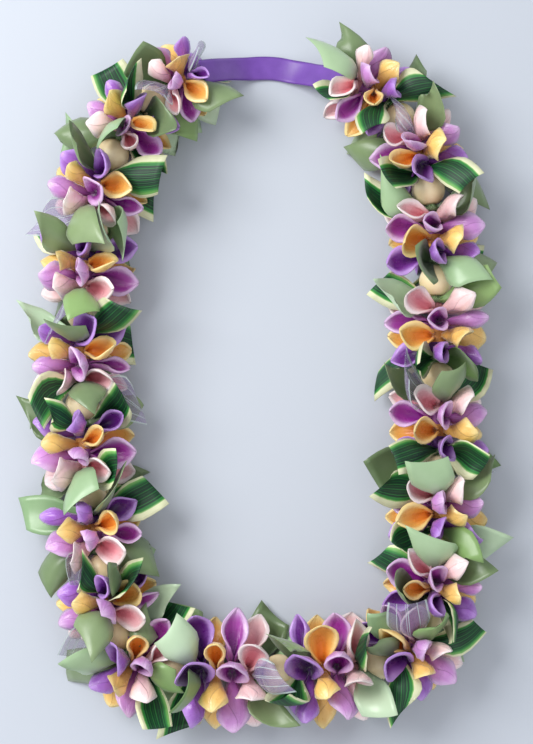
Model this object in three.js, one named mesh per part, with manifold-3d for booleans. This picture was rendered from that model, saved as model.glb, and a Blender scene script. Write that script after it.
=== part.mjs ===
// Ribbon flower lei lying on a surface: blooms of folded satin petals and round beads threaded on one cord,
// ribbon leaves tied at both sides of every bead, and a neck ribbon that closes the loop.
// Millimetres, +Z up, +Y from the breast to the neck, the surface at z = 0.
import * as THREE from "three";
import Module from "manifold-3d";

const wasm = await Module();
wasm.setup();

// The cord's route from one end of the neck ribbon to the other: its start, the middle of each bloom, its end
const CORD_ROUTE = [
  [-37, 204], [-58, 195], [-87, 169], [-107, 124], [-115, 72], [-117, 14], [-115, -46], [-107, -99],
  [-98, -144], [-83, -180], [-27, -187], [48, -185], [96, -172], [109, -131], [112, -86], [114, -30],
  [114, 33], [112, 96], [103, 151], [76, 188], [50, 199],
];
// How large each bloom is beside the common size, in the same order
const BLOOM_SIZES = [
  0.84, 0.92, 1, 1, 1, 1, 1, 1, 1.04, 1.14, 1.14, 1.06, 1, 1, 1, 1, 1, 1, 0.92,
];
const MIDDLE = [0.2, 4.1]; // of the whole piece, so that it lies round x = 0, y = 0
const CORD_HEIGHT = 25; // middle of the cord above the surface
const CORD_R = 1.6;
const BORE_R = 2.05; // hole for the cord through hubs, wraps and ties
const HUB_R = 5.5;
const BEAD_R = 11;
const WRAP_R = 3.3; // leaf wrap inside a bead's hole
const BEAD_BORE_R = 4.1;
const COLLAR_R = 5;
const COLLAR_L = 3;
const GAP = 0.35; // between pieces that touch on the real one

const ROWS = 4; // petal rows of a bloom: purple, gold, orchid, pink
const PETALS = 5; // petals in a row
const PETAL_L = 29;
const PETAL_W = 18;
const PETAL_D = 8.5;
const PETAL_ROOT = 4.2; // from the cord's middle to a petal's root
const ROW_LEAN = [-17, -5.7, 5.7, 17]; // degrees towards the next bloom, on a hub of common length
const HUB_HALF = 12.5; // half the common length of a hub
const ROW_PLACE = [-0.72, -0.24, 0.24, 0.72]; // share of the hub's half length

const UNDER = 138; // petals and leaves past this angle from straight up are pressed flat and left out

const LEAF_L = 42;
const LEAF_W = 26;
const LEAVES = 5; // ribbon leaves on each side of a bead
const LOWER_EDGE = -36; // a leaf hangs no further than this below the lowest stretch of the cord

const RIBBON_W = 16;
const RIBBON_T = 0.8;
const TIE_R = 4.4; // ribbon wound round each cord end

const UP = new THREE.Vector3(0, 0, 1);
const rad = THREE.MathUtils.degToRad;
const mix = (a, b, t) => a + (b - a) * t;
const vec = (x, y, z) => new THREE.Vector3(x, y, z);

// A repeatable draw from 0 to 1 for two whole numbers
function draw(a, b) {
  const s = Math.sin(a * 12.9898 + b * 78.233) * 43758.5453;
  return s - Math.floor(s);
}

// A closed solid from points and triangles, turned to face out
function solid(points, faces) {
  const make = (order) =>
    new wasm.Manifold(
      new wasm.Mesh({
        numProp: 3,
        vertProperties: new Float32Array(points.flatMap((p) => [p.x, p.y, p.z])),
        triVerts: new Uint32Array(faces.flatMap((f) => order.map((i) => f[i]))),
      }),
    );
  const made = make([0, 1, 2]);
  return made.volume() > 0 ? made : make([0, 2, 1]);
}

// A body cut back from another one where they meet
const clearOf = (body, other) =>
  body.intersect(other).volume() > 0.002 ? body.subtract(other) : body;

// Route stations, two to each step between route points, with the length run so far
const STEPS = 2;
const stations = [];
{
  const p = CORD_ROUTE.map(([x, y]) => vec(x - MIDDLE[0], y - MIDDLE[1], CORD_HEIGHT));
  p.unshift(p[0].clone().multiplyScalar(2).sub(p[1]));
  p.push(p.at(-1).clone().multiplyScalar(2).sub(p.at(-2)));
  let s = 0;
  for (let i = 1; i < p.length - 2; i++)
    for (let j = 0; j < (i === p.length - 3 ? STEPS + 1 : STEPS); j++) {
      const t = j / STEPS;
      const at = vec(0, 0, 0)
        .addScaledVector(p[i - 1], (-t + 2 * t * t - t * t * t) / 2)
        .addScaledVector(p[i], (2 - 5 * t * t + 3 * t * t * t) / 2)
        .addScaledVector(p[i + 1], (t + 4 * t * t - 3 * t * t * t) / 2)
        .addScaledVector(p[i + 2], (-t * t + t * t * t) / 2);
      if (stations.length) s += at.distanceTo(stations.at(-1).at);
      stations.push({ at, s });
    }
}
const CORD_L = stations.at(-1).s;
const LOWEST_CORD = Math.min(...stations.map(({ at }) => at.y));

// The route's point and direction at a length along it
function along(s) {
  let i = stations.findIndex((q) => q.s >= s);
  i = i < 0 ? stations.length - 1 : Math.max(i, 1);
  const [a, b] = [stations[i - 1], stations[i]];
  return {
    at: a.at.clone().lerp(b.at, (s - a.s) / (b.s - a.s)),
    to: b.at.clone().sub(a.at).normalize(),
  };
}

// The way the route heads at a length along it, over a short stretch
const heading = (s, half = 6) => along(s + half).at.sub(along(s - half).at).normalize();

// A round solid that follows the route through [length, radius] pairs
function sleeve(pairs, sides = 5) {
  const rings = [];
  pairs.forEach(([s, r], i) => {
    if (i && s > pairs[i - 1][0])
      stations.forEach((q, j) => {
        if (q.s <= Math.max(pairs[i - 1][0], 0) + 0.02 || q.s >= Math.min(s, CORD_L) - 0.02) return;
        const to = stations[j + 1].at.clone().sub(stations[j - 1].at).normalize();
        const t = (q.s - pairs[i - 1][0]) / (s - pairs[i - 1][0]);
        rings.push({ at: q.at, to, r: mix(pairs[i - 1][1], r, t) });
      });
    rings.push({ ...along(s), r });
  });
  const points = [];
  const faces = [];
  rings.forEach(({ at, to, r }, k) => {
    const side = to.clone().cross(UP);
    for (let i = 0; i < sides; i++) {
      const a = (2 * Math.PI * (i + 0.5)) / sides;
      points.push(
        at.clone().addScaledVector(side, r * Math.cos(a)).addScaledVector(UP, r * Math.sin(a)),
      );
      const [p, q] = [k * sides + i, k * sides + ((i + 1) % sides)];
      if (k) faces.push([p - sides, q - sides, p], [q - sides, q, p]);
    }
  });
  for (let i = 1; i < sides - 1; i++) {
    const last = (rings.length - 1) * sides;
    faces.push([0, i + 1, i], [last, last + i, last + i + 1]);
  }
  return solid(points, faces);
}

// Where each bead's middle is, and where each bloom's hub starts and ends
const routeAt = (i) => stations[i * STEPS].s;
const BLOOMS = BLOOM_SIZES.length;
const TIE = [0.6, 6.4];
const beadAt = BLOOM_SIZES.slice(1).map((_, k) => routeAt(k + 1.5));
const hubStart = (k) =>
  k ? beadAt[k - 1] + BEAD_R + 2 * GAP + COLLAR_L : TIE[1] + COLLAR_L + 2 * GAP;
const hubEnd = (k) =>
  k < BLOOMS - 1
    ? beadAt[k] - BEAD_R - 2 * GAP - COLLAR_L
    : CORD_L - TIE[1] - COLLAR_L - 2 * GAP;

// Axes at an angle round the cord, 0 up and 90 away from the loop: out from the cord, and round it
function spoke(to, angle) {
  const side = to.clone().cross(UP);
  const [c, s] = [Math.cos(rad(angle)), Math.sin(rad(angle))];
  return {
    out: UP.clone().multiplyScalar(c).addScaledVector(side, s),
    round: UP.clone().multiplyScalar(-s).addScaledVector(side, c),
  };
}

// How far a piece that leaves the cord at this angle can reach before it meets the surface
const reach = (angle, length) =>
  Math.min(length, (CORD_HEIGHT + 1) / Math.max(0.01, -Math.cos(rad(angle))));

// Where a bloom's petal stands: root, length axis, open side and size
function petalPlace(k, row, i) {
  const size = BLOOM_SIZES[k];
  const seed = (k * ROWS + row) * PETALS + i;
  const [s0, s1] = [hubStart(k), hubEnd(k)];
  const middle = (s0 + s1) / 2;
  const to = heading(middle, (s1 - s0) / 2);
  const { at } = along(mix(middle, row < 2 ? s0 : s1, Math.abs(ROW_PLACE[row])));
  const turn = 24 * (draw(k, 1) - 0.5) + (row % 2) * 36 + 12 * (draw(seed, 2) - 0.5);
  const angle = ((((i * 360) / PETALS + turn + 180) % 360) + 360) % 360 - 180;
  const { out, round } = spoke(to, angle);
  const spread = 1.7 - (0.35 * (s1 - s0)) / HUB_HALF;
  const lean = rad(ROW_LEAN[row] * spread + 6 * (draw(seed, 3) - 0.5));
  const axis = out.clone().multiplyScalar(Math.cos(lean)).addScaledVector(to, Math.sin(lean));
  const length = reach(angle, PETAL_L * size * (0.93 + 0.14 * draw(seed, 4)) + PETAL_ROOT);
  return {
    root: at.clone().addScaledVector(out, PETAL_ROOT),
    axis, open: round, across: axis.clone().cross(round),
    length: length - PETAL_ROOT, size, angle,
  };
}

// A petal folded from a square of ribbon: rims that meet at the front, a pointed tip and a round back.
// One low at the cord's side has fewer facets. The plain one, without its hollow, is larger all round, as
// the room that other pieces leave it.
const PETAL_RIM = [[0, 0.3, 0.36], [1, 0.2, 0.62], [0.62, 0.05, 0.86], [0, 0, 1]];
function petal({ root, axis, open, across, length, size, angle }, plain = false) {
  const [w, d] = [(PETAL_W / 2) * size, PETAL_D * size];
  const grow = plain ? 1.12 : 1;
  const half = PETAL_RIM.filter((_, i) => i !== 2 || Math.abs(angle) < 95);
  const rim = [...half, ...half.slice(1, -1).reverse().map(([x, y, z]) => [-x, y, z])];
  const points = [...rim, [0, 0, 0], [0, -0.7, 0.62], [0, -0.48, 0.56]].map(([x, y, z]) =>
    root.clone()
      .addScaledVector(across, x * w * grow)
      .addScaledVector(open, ((y + 0.15) * grow - 0.15) * d)
      .addScaledVector(axis, ((z - 0.6) * grow + 0.6) * length),
  );
  const n = rim.length;
  const [base, back, hollow] = [n, n + 1, n + 2];
  const faces = [[base, 0, 1], [base, 1, back], [base, back, n - 1], [base, n - 1, 0]];
  for (let i = 1; i < n - 1; i++) faces.push([back, i, i + 1]);
  if (plain) for (let i = 1; i < n - 1; i++) faces.push([0, i + 1, i]);
  else for (let i = 0; i < n; i++) faces.push([hollow, (i + 1) % n, i]);
  return solid(points.slice(0, plain ? n + 2 : n + 3), faces);
}

// A ribbon leaf's place: pinched at the cord, wide and arched further out
function leafPlace(s, seed, size, angle, lean, bend, flip) {
  const from = along(s).at;
  const to = heading(s);
  const { out, round } = spoke(to, angle);
  const hang = (from.y - LOWEST_CORD - LOWER_EDGE) / Math.max(0.01, -out.y);
  const length = reach(angle, Math.min(hang, LEAF_L * Math.min(size, 1.06) * (0.88 + 0.24 * draw(seed, 5))));
  const wide = (LEAF_W / 2) * (0.85 + 0.25 * draw(seed, 6)) * Math.min(1, length / 30);
  const aside = Math.min(1, Math.max(0, (Math.abs(angle) - 10) / 40));
  const twist = rad(mix(20, 84, aside) + 24 * (draw(seed, 7) - 0.5)) * (draw(seed, 8) < 0.5 ? -flip : flip);
  const dir = (a) =>
    out.clone().multiplyScalar(Math.cos(rad(a))).addScaledVector(to, Math.sin(rad(a)));
  const [d1, d2] = [dir(lean), dir(lean + bend)];
  const middle = from.clone().addScaledVector(out, 2.6).addScaledVector(d1, 0.52 * length);
  const end = middle.clone().addScaledVector(d2, 0.42 * length);
  const cross = round.clone().multiplyScalar(Math.cos(twist))
    .addScaledVector(d1.clone().cross(round), Math.sin(twist));
  const face = cross.clone().cross(d1).normalize();
  if (face.dot(to) * lean > 0) face.negate();
  const args = [s, seed, size, angle, lean, bend, flip];
  return { root: from.clone().addScaledVector(out, 2.2), middle, end, cross, face, d2, wide, seed, args };
}

// How many spots of a leaf lie in a petal's room or in the bead's
function crossings({ middle, end, cross, wide, root }, k, s) {
  let count = 0;
  for (const t of [0.3, 0.6, 1, 1.35, 1.7, 2])
    for (const u of [-0.9, -0.45, 0, 0.45, 0.9]) {
      const far = t > 1 ? middle.clone().lerp(end, t - 1) : root.clone().lerp(middle, t);
      const p = far.addScaledVector(cross, u * wide * (t > 1 ? 1 : t));
      if (p.distanceTo(along(s).at) < BEAD_R + 0.8) count++;
      for (const j of [k - 2, k - 1, k, k + 1])
        for (const q of places[j] ?? []) {
          const d = p.clone().sub(q.root);
          const z = d.dot(q.axis) / q.length;
          if (z < 0.05 || z > 1.04) continue;
          const x = Math.abs(d.dot(q.across)) - 1.6;
          const y = d.dot(q.open);
          const half = (PETAL_W / 2) * q.size * Math.min(z / 0.62, (1.08 - z) / 0.4, 1);
          const deep = PETAL_D * q.size * Math.min(z / 0.62, (1.08 - z) / 0.4, 1);
          if (x < half && y > -0.7 * deep - 1.6 && y < 0.3 * deep + 1.6) count++;
        }
    }
  return count;
}

// A leaf cut square, slanting or to a point
function leaf({ root, middle, end, cross, face, d2, wide, seed }) {
  const cut = draw(seed, 9);
  const [cutL, cutR] = cut < 0.35 ? [3, -2] : cut < 0.7 ? [-9, 5] : [5, -9];
  const points = [
    root,
    middle.clone().addScaledVector(cross, wide),
    end.clone().addScaledVector(cross, 0.8 * wide).addScaledVector(d2, cutL),
    end.clone().addScaledVector(cross, -0.8 * wide).addScaledVector(d2, cutR),
    middle.clone().addScaledVector(cross, -wide),
    middle.clone().addScaledVector(face, 3.8),
    middle.clone().addScaledVector(face, 1.4),
  ];
  const faces = [];
  for (let i = 0; i < 5; i++) {
    const j = (i + 1) % 5;
    faces.push([i, j, 5], [j, i, 6]);
  }
  return solid(points, faces);
}

// The leaves of one side of a bead, or of one end of the cord, each turned to where it crosses fewest petals;
// side is 1 where they stand before the bloom
const TURNS = [0, 6, -6, 12, -12, 18, -18, 24, -24, 30, -30, 36, -36];
function leafWhorl(s, seed, side, k, beadS) {
  const made = [];
  const size = BLOOM_SIZES[side > 0 ? k : k - 1];
  for (let i = 0; i < LEAVES; i++) {
    const n = seed * LEAVES + i;
    const angle = (i * 360) / LEAVES + 360 * draw(seed, 10) + 24 * (draw(n, 11) - 0.5);
    const lean = side > 0 ? -4 - 12 * draw(n, 12) : 8 + 14 * draw(n, 12);
    const bend = side > 0 ? -8 - 20 * draw(n, 13) : 16 + 30 * draw(n, 13);
    let best;
    for (const turn of TURNS)
      for (const less of [1, 0.5, 0, -0.5])
        for (const flip of [1, -1]) {
          const to = (((angle + turn + 180) % 360) + 360) % 360 - 180;
          const place = leafPlace(s, n, size, to, lean * less, bend * less, flip);
          const count = crossings(place, k, beadS) + Math.abs(turn) / 40 + (1 - less) / 3;
          if (!best || count < best.count) best = { place, count, angle: to };
        }
    if (Math.abs(best.angle) < UNDER) made.push(best.place);
  }
  return made;
}

// What lies below the surface is cut away
const FLOOR = solid(
  [0, 1, 2, 3, 4, 5, 6, 7].map((i) =>
    vec(i & 1 ? 400 : -400, i & 2 ? 400 : -400, i & 4 ? 0 : -100),
  ),
  [
    [0, 2, 1], [1, 2, 3], [4, 5, 6], [5, 7, 6], [0, 1, 4], [1, 5, 4],
    [2, 6, 3], [3, 6, 7], [0, 4, 2], [2, 4, 6], [1, 3, 5], [3, 7, 5],
  ],
);

const group = new THREE.Group();
group.name = "ribbon_flower_lei";

// Adds a piece as one named mesh, keeping its largest body
function add(name, body, color, roughness) {
  const whole = body.subtract(FLOOR).decompose().sort((a, b) => b.volume() - a.volume())[0];
  const mesh = whole.getMesh();
  const n = mesh.numProp;
  const points = new Float32Array(mesh.numVert * 3);
  for (let i = 0; i < mesh.numVert; i++)
    points.set(mesh.vertProperties.subarray(i * n, i * n + 3), i * 3);
  const geometry = new THREE.BufferGeometry()
    .setAttribute("position", new THREE.BufferAttribute(points, 3))
    .setIndex(new THREE.BufferAttribute(mesh.triVerts, 1));
  geometry.computeVertexNormals();
  const material = new THREE.MeshStandardMaterial({ color, roughness, metalness: 0 });
  const made = new THREE.Mesh(geometry, material);
  made.name = name;
  group.add(made);
}

const two = (n) => String(n).padStart(2, "0");

// Core cord
add("core_cord", sleeve([[0, CORD_R], [CORD_L, CORD_R]]), 0xe9e2d0, 0.8);

// Beads, each turned, with a hole that follows the cord for the leaf wrap
const BEAD_PROFILE = [
  [-10.3, BEAD_BORE_R], [-7.2, 8.6], [0, BEAD_R + 0.2], [7.2, 8.6], [10.3, BEAD_BORE_R], [0, BEAD_BORE_R],
];
function bead(s, grow = 0) {
  const to = heading(s);
  const sides = 7;
  const points = [];
  const faces = [];
  BEAD_PROFILE.forEach(([a, r], k) => {
    const inner = r === BEAD_BORE_R;
    const at = inner ? along(s + a).at : along(s).at.addScaledVector(to, a);
    const way = inner && a ? along(s + a).to : to;
    const far = inner ? r - grow / 4 : r + grow;
    for (let i = 0; i < sides; i++) {
      const turn = (2 * Math.PI * i) / sides;
      points.push(
        at.clone()
          .addScaledVector(to, (a * grow) / BEAD_R)
          .addScaledVector(way.clone().cross(UP), far * Math.cos(turn))
          .addScaledVector(UP, far * Math.sin(turn)),
      );
      const [n, m] = [((k + 1) % BEAD_PROFILE.length) * sides, (i + 1) % sides];
      faces.push([k * sides + i, k * sides + m, n + i], [k * sides + m, n + m, n + i]);
    }
  });
  return solid(points, faces);
}
beadAt.forEach((s, k) => add("bead_" + two(k + 1), bead(s), 0xe1cda5, 0.45));

// Blooms, each a hub with its petals sewn on, clear of the beads beside it
const blooms = [];
const places = [];
for (let k = 0; k < BLOOMS; k++) {
  places[k] = [];
  let bloom = sleeve([[hubStart(k), HUB_R], [hubEnd(k), HUB_R]]);
  let room = sleeve([[hubStart(k) - GAP, HUB_R + GAP], [hubEnd(k) + GAP, HUB_R + GAP]]);
  for (let row = 0; row < ROWS; row++)
    for (let i = 0; i < PETALS; i++) {
      const place = petalPlace(k, row, i);
      if (Math.abs(place.angle) > UNDER) continue;
      places[k].push(place);
      bloom = bloom.add(petal(place));
      room = room.add(petal(place, true));
    }
  bloom = bloom.subtract(sleeve([[hubStart(k) - 3, BORE_R], [hubEnd(k) + 3, BORE_R]]));
  for (const s of [beadAt[k - 1], beadAt[k]]) if (s) bloom = clearOf(bloom, bead(s, GAP + 0.3));
  blooms.push({ bloom, room });
}
blooms.forEach(({ bloom }, k) => {
  if (k) bloom = clearOf(bloom, blooms[k - 1].room);
  add("bloom_" + two(k + 1), bloom, 0x9a66b8, 0.4);
});

// Neck ribbon: a flat band from one cord end down to the surface and up to the other, wound round both ends
const TIES = [TIE, [CORD_L - TIE[1], CORD_L - TIE[0]]];
function band(grow = 0) {
  const [a, b] = [along(0), along(CORD_L)];
  const start = a.at.clone().addScaledVector(a.to, 3);
  const end = b.at.clone().addScaledVector(b.to, -3);
  const lift = TIE_R - RIBBON_T / 2;
  const curve = new THREE.CatmullRomCurve3([
    start.clone().setZ(CORD_HEIGHT + lift),
    start.clone().addScaledVector(a.to, -9).setZ(CORD_HEIGHT - 3),
    vec(-10.7, 207.6, 3),
    vec(5.8, 208.6, RIBBON_T / 2),
    vec(21.3, 205.6, 3),
    end.clone().addScaledVector(b.to, 9).setZ(CORD_HEIGHT - 3),
    end.clone().setZ(CORD_HEIGHT + lift),
  ]);
  const points = [];
  const faces = [];
  const N = 9;
  for (let i = 0; i <= N; i++) {
    const p = curve.getPointAt(i / N);
    const t = curve.getTangentAt(i / N);
    const side = t.clone().cross(UP).normalize().multiplyScalar(RIBBON_W / 2 + grow);
    const up = side.clone().cross(t).setLength(RIBBON_T / 2 + grow);
    for (const [x, z] of [[1, -1], [1, 1], [-1, 1], [-1, -1]])
      points.push(p.clone().addScaledVector(side, x).addScaledVector(up, z));
    for (let j = 0; j < 4 && i; j++) {
      const [u, v] = [i * 4 + j, i * 4 + ((j + 1) % 4)];
      faces.push([u - 4, v - 4, u], [v - 4, v, u]);
    }
  }
  faces.push([0, 2, 1], [0, 3, 2], [4 * N, 4 * N + 1, 4 * N + 2], [4 * N, 4 * N + 2, 4 * N + 3]);
  let made = solid(points, faces);
  for (const [s0, s1] of TIES)
    made = made.add(sleeve([[s0 - grow / 2, TIE_R + grow], [s1 + grow / 2, TIE_R + grow]]));
  return made;
}
const bandRoom = band(0.5);
let ribbon = band();
for (const [s0, s1] of TIES)
  ribbon = ribbon.subtract(sleeve([[s0 - 4, BORE_R], [s1 + 4, BORE_R]]));
for (const j of [0, BLOOMS - 1]) ribbon = clearOf(ribbon, blooms[j].room);
add("neck_ribbon", ribbon, 0x6c3fa0, 0.45);

// A leaf turned a little, or made narrower, where it would meet a petal
function fitted({ args }, k) {
  const [s, seed, size, angle, lean, bend, flip] = args;
  const rooms = [k - 1, k].map((j) => blooms[j]?.room).filter(Boolean);
  if (k === 0 || k === BLOOMS) rooms.push(bandRoom);
  else rooms.push(bead(beadAt[k - 1], GAP));
  if (blooms[k - 1]?.leaves) rooms.push(blooms[k - 1].leaves);
  for (const share of [1, 0.84, 0.68, 0.52])
    for (const turn of [0, 7, -7, 14, -14, 21, -21])
      for (const more of [0, 8, -8]) {
        const to = leafPlace(s, seed, size, angle + turn, lean + more, bend, flip);
        const made = leaf({ ...to, wide: to.wide * share });
        if (rooms.every((room) => made.intersect(room).volume() < 0.002)) return made;
      }
}

// Leaves: a wrap through each bead with a collar and a whorl of leaves at both of its sides
for (let k = 0; k <= BLOOMS; k++) {
  const wrap = [];
  const whorls = [];
  if (k === 0) {
    wrap.push([TIE[1] + GAP, COLLAR_R], [TIE[1] + GAP + COLLAR_L, COLLAR_R]);
    whorls.push(...leafWhorl(TIE[1] + GAP + COLLAR_L / 2, 2 * k, 1, k, -90));
  } else if (k === BLOOMS) {
    const s = CORD_L - TIE[1] - GAP;
    wrap.push([s - COLLAR_L, COLLAR_R], [s, COLLAR_R]);
    whorls.push(...leafWhorl(s - COLLAR_L / 2, 2 * k, -1, k, -90));
  } else {
    const [s, near, far] = [beadAt[k - 1], BEAD_R + GAP, BEAD_R + GAP + COLLAR_L];
    wrap.push([s - far, COLLAR_R], [s - near, COLLAR_R], [s - near, WRAP_R]);
    wrap.push([s + near, WRAP_R], [s + near, COLLAR_R], [s + far, COLLAR_R]);
    whorls.push(...leafWhorl(s - near - COLLAR_L / 2, 2 * k, -1, k, s));
    whorls.push(...leafWhorl(s + near + COLLAR_L / 2, 2 * k + 1, 1, k, s));
  }
  let leaves = sleeve(wrap);
  for (const place of whorls) {
    const made = fitted(place, k);
    if (made) leaves = leaves.add(made);
  }
  for (const j of [k - 2, k - 1, k, k + 1]) if (blooms[j]) leaves = clearOf(leaves, blooms[j].room);
  if (beadAt[k - 1]) leaves = clearOf(leaves, bead(beadAt[k - 1], GAP));
  const [s0, s1] = [wrap[0][0] - 3, wrap.at(-1)[0] + 3];
  leaves = leaves.subtract(sleeve([[s0, BORE_R], [s1, BORE_R]]));
  blooms[k] ??= {};
  blooms[k].leaves = leaves;
  if (blooms[k - 1]?.leaves) leaves = clearOf(leaves, blooms[k - 1].leaves);
  add("leaves_" + two(k + 1), leaves, 0x86a878, 0.5);
}

export default group;
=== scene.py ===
import math

import bmesh
import bpy
import numpy as np
from mathutils import Matrix, Vector
from mathutils.bvhtree import BVHTree


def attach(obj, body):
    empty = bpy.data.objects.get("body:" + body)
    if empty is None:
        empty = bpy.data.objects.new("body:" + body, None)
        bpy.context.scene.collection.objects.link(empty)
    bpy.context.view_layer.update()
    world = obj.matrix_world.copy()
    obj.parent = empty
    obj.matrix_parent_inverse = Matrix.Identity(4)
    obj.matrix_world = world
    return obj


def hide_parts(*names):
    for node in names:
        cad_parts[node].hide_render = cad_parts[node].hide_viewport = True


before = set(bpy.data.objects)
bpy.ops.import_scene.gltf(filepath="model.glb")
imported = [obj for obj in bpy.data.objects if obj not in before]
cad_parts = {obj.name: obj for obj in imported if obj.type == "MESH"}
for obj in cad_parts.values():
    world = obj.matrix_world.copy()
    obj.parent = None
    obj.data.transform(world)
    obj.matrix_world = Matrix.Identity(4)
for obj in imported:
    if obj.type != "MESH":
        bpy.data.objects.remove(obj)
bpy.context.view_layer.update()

# Camera
# The lei lies on a pale surface and is seen from above, a little from its lower end.
# The picture's scale follows from the ribbon of the leaves, 25 mm wide and about 38 pixels.
PIXEL = 0.00065  # metres
SEEN_HEIGHT = 744 * PIXEL
SEEN_MIDDLE = Vector((0.0027, 0.0011, 0.025))
SEEN_FROM = 1.10
SEEN_TILT = math.radians(5)  # off straight down

camera_data = bpy.data.cameras.new("camera")
camera_data.lens = camera_data.sensor_width * SEEN_FROM / SEEN_HEIGHT
camera_data.clip_start = 0.01
camera = bpy.data.objects.new("camera", camera_data)
bpy.context.scene.collection.objects.link(camera)
camera.location = SEEN_MIDDLE + SEEN_FROM * Vector((0, -math.sin(SEEN_TILT), math.cos(SEEN_TILT)))
camera.rotation_euler = (SEEN_TILT, 0, 0)
bpy.context.scene.camera = camera
bpy.context.scene.view_settings.view_transform = "Standard"

# Core cord
# A round cotton cord, twisted from three strands, carries every bloom, leaf and bead.
# Its two ends are bound into the neck ribbon, so it is open only behind the neck.
CORD_ROUTE = [  # millimetres: both ends at the neck ribbon, and between them the middle of each bloom
    (-37, 204), (-58, 195), (-87, 169), (-107, 124), (-115, 72), (-117, 14), (-115, -46), (-107, -99),
    (-98, -144), (-83, -180), (-27, -187), (48, -185), (96, -172), (109, -131), (112, -86), (114, -30),
    (114, 33), (112, 96), (103, 151), (76, 188), (50, 199),
]
ROUTE_MIDDLE = (0.2, 4.1)
CORD_HEIGHT = 0.025
CORD_RADIUS = 0.0016


def route_stations():
    """Places along the cord, two to each step of its route, and the length run up to each."""
    middle_x, middle_y = ROUTE_MIDDLE
    p = [np.array(((x - middle_x) / 1000, (y - middle_y) / 1000, CORD_HEIGHT)) for x, y in CORD_ROUTE]
    p = [2 * p[0] - p[1], *p, 2 * p[-1] - p[-2]]
    places = []
    for i in range(1, len(p) - 2):
        for t in (0.0, 0.5) if i < len(p) - 3 else (0.0, 0.5, 1.0):
            places.append(
                p[i - 1] * (-t + 2 * t * t - t**3) / 2 + p[i] * (2 - 5 * t * t + 3 * t**3) / 2
                + p[i + 1] * (t + 4 * t * t - 3 * t**3) / 2 + p[i + 2] * (-t * t + t**3) / 2
            )
    places = np.array(places)
    steps = np.linalg.norm(np.diff(places, axis=0), axis=1)
    return places, np.concatenate(([0], np.cumsum(steps)))


station_place, station_run = route_stations()
CORD_LENGTH = float(station_run[-1])


def along(run):
    """The cord's middle at a length along it."""
    i = min(max(int(np.searchsorted(station_run, run)), 1), len(station_run) - 1)
    a, b = station_place[i - 1], station_place[i]
    return a + (b - a) * (run - station_run[i - 1]) / (station_run[i] - station_run[i - 1])


def hue(red, green, blue):
    """A colour as it is mixed in light, from its three 0 to 255 parts."""
    return [((c / 255 + 0.055) / 1.055) ** 2.4 if c > 10 else c / 3295 for c in (red, green, blue)] + [1.0]


class Measure:
    """A length, share or direction that a node tree works out, so that a shape's rule reads as sums."""

    def __init__(self, tree, socket):
        self.tree, self.socket = tree, socket
        self.is_way = socket.type == "VECTOR"

    def work(self, operation, *others):
        values = (self, *others)
        way = any(isinstance(v, Measure) and v.is_way for v in values)
        node = self.tree.nodes.new("ShaderNodeVectorMath" if way else "ShaderNodeMath")
        node.operation = operation
        for place, value in zip([s for s in node.inputs if s.enabled], values):
            if isinstance(value, Measure):
                self.tree.links.new(value.socket, place)
            else:
                place.default_value = value
        return Measure(self.tree, next(s for s in node.outputs if s.enabled))

    def __add__(self, other):
        return self.work("ADD", other)

    def __sub__(self, other):
        return self.work("SUBTRACT", other)

    def __truediv__(self, other):
        return self.work("DIVIDE", other)

    def __mul__(self, other):
        other_way = isinstance(other, Measure) and other.is_way
        if self.is_way != other_way:
            return self.work("SCALE", other) if self.is_way else other.work("SCALE", self)
        return self.work("MULTIPLY", other)

    def rest(self):
        """What is left of one."""
        return self * -1.0 + 1.0

    def at_least(self, other):
        return self.work("MAXIMUM", other)

    def at_most(self, other):
        return self.work("MINIMUM", other)

    def parts(self):
        node = self.tree.nodes.new("ShaderNodeSeparateXYZ")
        self.tree.links.new(self.socket, node.inputs[0])
        return [Measure(self.tree, s) for s in node.outputs]


def fill_in(tree, node, inputs):
    """Sets a node's inputs, given by name or number, to values, measures or sockets."""
    for key, value in inputs.items():
        value = value.socket if isinstance(value, Measure) else value
        if isinstance(value, bpy.types.NodeSocket):
            tree.links.new(value, node.inputs[key])
        else:
            node.inputs[key].default_value = value


def add_node(tree, kind, inputs, **settings):
    """A node with its settings and its inputs."""
    node = tree.nodes.new(kind)
    for key, value in settings.items():
        setattr(node, key, value)
    fill_in(tree, node, inputs)
    return node


def shape_tree(name, **inputs):
    """A geometry tree that starts from a mesh, with named inputs: the tree, the mesh and the inputs."""
    tree = bpy.data.node_groups.new(name, "GeometryNodeTree")
    tree.is_modifier = True
    for way in ("INPUT", "OUTPUT"):
        tree.interface.new_socket("Geometry", in_out=way, socket_type="NodeSocketGeometry")
    for key, value in inputs.items():
        kind = {float: "Float", int: "Int", str: value}[type(value)]
        label = key.replace("_", " ")
        socket = tree.interface.new_socket(label, in_out="INPUT", socket_type="NodeSocket" + kind)
        if not isinstance(value, str):
            socket.default_value = value
    start = tree.nodes.new("NodeGroupInput")
    return tree, start.outputs[0], {k: Measure(tree, start.outputs[k.replace("_", " ")]) for k in inputs}


def finish_tree(tree, geometry, finish):
    """Ends a tree: instances made real, smooth faces and the material."""
    real = add_node(tree, "GeometryNodeRealizeInstances", {0: geometry})
    smooth = add_node(tree, "GeometryNodeSetShadeSmooth", {0: real.outputs[0]})
    coated = add_node(tree, "GeometryNodeSetMaterial", {0: smooth.outputs[0], "Material": finish})
    add_node(tree, "NodeGroupOutput", {0: coated.outputs[0]})


def named(tree, label, way=False):
    """A measure or direction that each point carries."""
    kind = "FLOAT_VECTOR" if way else "FLOAT"
    node = add_node(tree, "GeometryNodeInputNamedAttribute", {"Name": label}, data_type=kind)
    return Measure(tree, node.outputs[0])


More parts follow.
